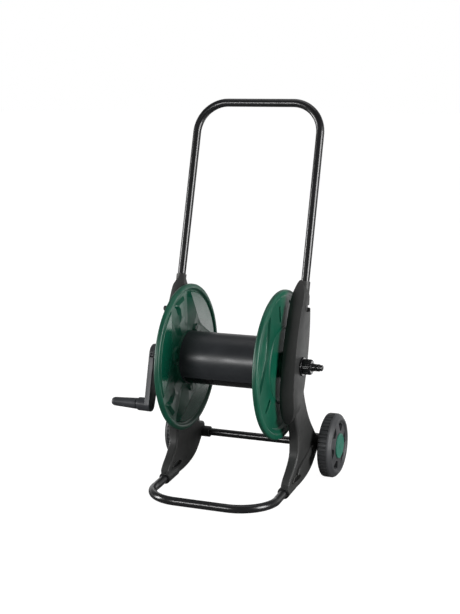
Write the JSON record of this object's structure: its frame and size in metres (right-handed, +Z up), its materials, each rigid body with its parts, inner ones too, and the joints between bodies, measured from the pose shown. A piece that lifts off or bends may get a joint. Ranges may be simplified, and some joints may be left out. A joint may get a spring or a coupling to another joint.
{
  "type": "garden hose reel cart",
  "caption": "Wheeled garden hose reel cart with a tall tube handle, a crank-turned drum between large dished flanges, and a hose inlet on the reel axis.",
  "frame": {"origin": "on the floor, under the middle of the cart's bounding box", "axes": "+Z up, +X along the reel axis towards the hose inlet (the crank is on the -X side), +Y towards the wheels, -Y towards the foot bar"},
  "size_m": [0.5368, 0.448, 0.9345],
  "materials": {
    "black_paint": "gloss black paint on bent steel tube",
    "charcoal_plastic": "fine-textured charcoal moulding",
    "green_plastic": "glossy dark green moulding",
    "teal_plastic": "lighter green satin cap",
    "slate_plastic": "satin dark slate plastic",
    "wheel_plastic": "dark grey satin moulding",
    "gloss_black_plastic": "glossy black fitting",
    "plated_steel": "zinc-plated steel",
    "seal_rubber": "black rubber seal"
  },
  "bodies": {
    "frame": {"handle_tube": "black_paint", "foot_tube": "black_paint", "axle_tube": "black_paint", "axle_rod": "plated_steel", "right_side_frame": "charcoal_plastic", "left_side_frame": "charcoal_plastic", "right_hub_bush": "gloss_black_plastic", "left_hub_bush": "gloss_black_plastic", "inlet_body": "gloss_black_plastic", "inlet_nut": "gloss_black_plastic", "inlet_o_ring": "seal_rubber", "handle_lock_knob": "charcoal_plastic", "right_wheel_washer": "plated_steel", "left_wheel_washer": "plated_steel", "right_push_nut": "plated_steel", "left_push_nut": "plated_steel"},
    "reel": {"drum": "slate_plastic", "right_flange": "green_plastic", "left_flange": "green_plastic", "hub_shaft": "charcoal_plastic", "outlet_nipple": "gloss_black_plastic", "right_flange_screw_1": "plated_steel", "left_flange_screw_1": "plated_steel", "right_flange_screw_2": "plated_steel", "left_flange_screw_2": "plated_steel", "right_flange_screw_3": "plated_steel", "left_flange_screw_3": "plated_steel", "crank_arm": "charcoal_plastic", "crank_screw": "charcoal_plastic", "grip_pin": "plated_steel"},
    "grip": {"crank_grip": "slate_plastic"},
    "right_wheel": {"right_wheel": "wheel_plastic", "right_hub_cap": "teal_plastic"},
    "left_wheel": {"left_wheel": "wheel_plastic", "left_hub_cap": "teal_plastic"}
  },
  "joints": [
    {"name": "reel_spin", "type": "hinge", "parent": "frame", "child": "reel", "pos_m": [0.04105, -0.008, 0.31001], "axis": [1, 0, 0], "continuous": true},
    {"name": "grip_spin", "type": "hinge", "parent": "reel", "child": "grip", "pos_m": [-0.23235, -0.04788, 0.18944], "axis": [1, 0, 0], "continuous": true},
    {"name": "right_wheel_spin", "type": "hinge", "parent": "frame", "child": "right_wheel", "pos_m": [0.24805, 0.144, 0.08001], "axis": [1, 0, 0], "continuous": true},
    {"name": "left_wheel_spin", "type": "hinge", "parent": "frame", "child": "left_wheel", "pos_m": [-0.16595, 0.144, 0.08001], "axis": [1, 0, 0], "continuous": true}
  ]
}
